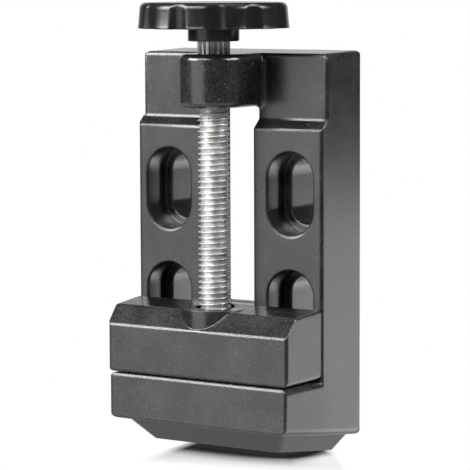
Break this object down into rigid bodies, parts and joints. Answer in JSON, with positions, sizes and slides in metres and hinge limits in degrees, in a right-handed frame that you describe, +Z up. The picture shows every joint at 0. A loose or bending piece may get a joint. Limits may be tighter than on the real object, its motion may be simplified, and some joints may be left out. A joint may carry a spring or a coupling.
{
  "type": "drill_press_vise",
  "caption": "Small black die-cast drill press vise with slotted base, chamfered nose, sliding jaw and fluted hand knob on a steel lead screw",
  "frame": {"origin": "on the underside, at the centre of the four mounting slots", "axes": "+X along the lead screw from the fixed jaw to the hand knob, +Y to the left seen from the fixed jaw looking towards the knob, +Z up from the underside to the rails"},
  "size_m": [0.0825, 0.0394, 0.032],
  "materials": {
    "coated_casting": "semi-gloss black coating on a die casting, fine orange peel",
    "plated_steel": "bright zinc plating, lightly worn on the crests",
    "knob_plastic": "black moulded plastic, glossy with fine scratches",
    "plain_steel": "plain rolled and ground steel, oiled"
  },
  "bodies": {
    "base": {"base_casting": "coated_casting"},
    "jaw": {"moving_jaw": "coated_casting", "jaw_keeper": "plain_steel", "front_keeper_screw": "plated_steel", "rear_keeper_screw": "plated_steel", "front_lock_washer": "plated_steel", "rear_lock_washer": "plated_steel", "left_retaining_pin": "plain_steel", "right_retaining_pin": "plain_steel"},
    "screw": {"lead_screw": "plated_steel", "hand_knob": "knob_plastic"}
  },
  "joints": [
    {"name": "jaw_slide", "type": "slide", "parent": "base", "child": "jaw", "axis": [1, 0, 0], "range_m": [0, 0.034]},
    {"name": "screw_turn", "type": "hinge", "parent": "jaw", "child": "screw", "pos_m": [0, 0, 0.01845], "axis": [1, 0, 0], "range_deg": [0, 12240]}
  ],
  "couplings": [
    {"joint": "screw_turn", "follows": "jaw_slide", "rad_per_m": 6283.2}
  ]
}
